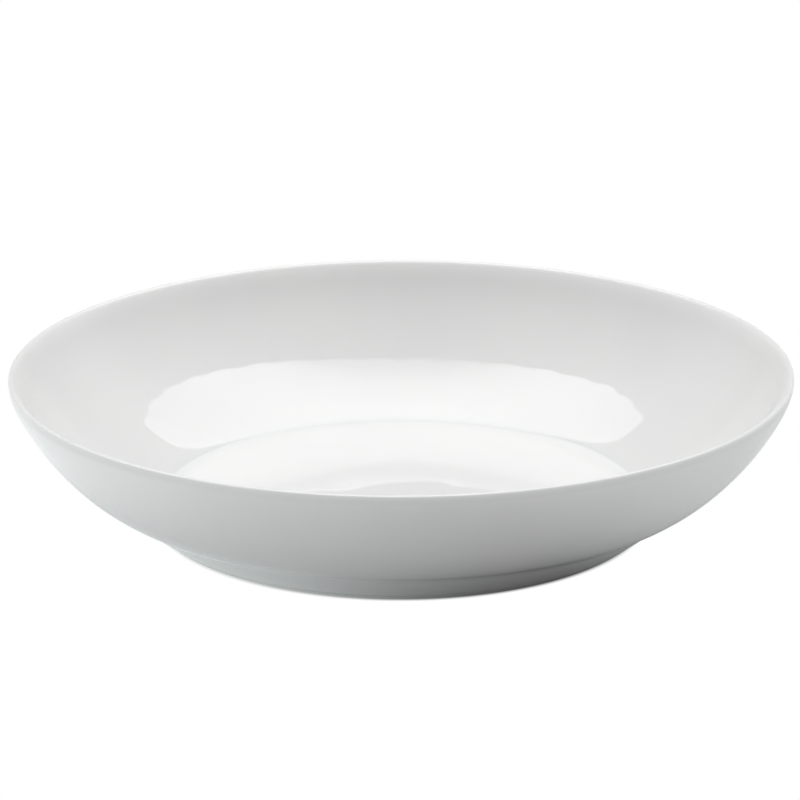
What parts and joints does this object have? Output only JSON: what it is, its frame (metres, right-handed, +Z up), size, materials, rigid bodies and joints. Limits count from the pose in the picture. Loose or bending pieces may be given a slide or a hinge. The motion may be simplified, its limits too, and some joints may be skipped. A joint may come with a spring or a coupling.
{
  "type": "deep plate",
  "caption": "Round deep plate with a shallow flat well and an upswept curved wall ending in a rounded lip, without a flange, standing on a low flared foot ring.",
  "frame": {"origin": "centre of the circle that the plate stands on, at table height", "axes": "+Z up along the plate's axis of revolution, +X and +Y in the table's plane"},
  "size_m": [0.24, 0.24, 0.0474],
  "materials": {
    "glazed_porcelain": "white porcelain under a clear gloss glaze",
    "foot_porcelain": "white porcelain, glazed on its sides, with a bare ground standing face"
  },
  "bodies": {
    "root": {"bowl": "glazed_porcelain", "foot_ring": "foot_porcelain"}
  },
  "joints": []
}
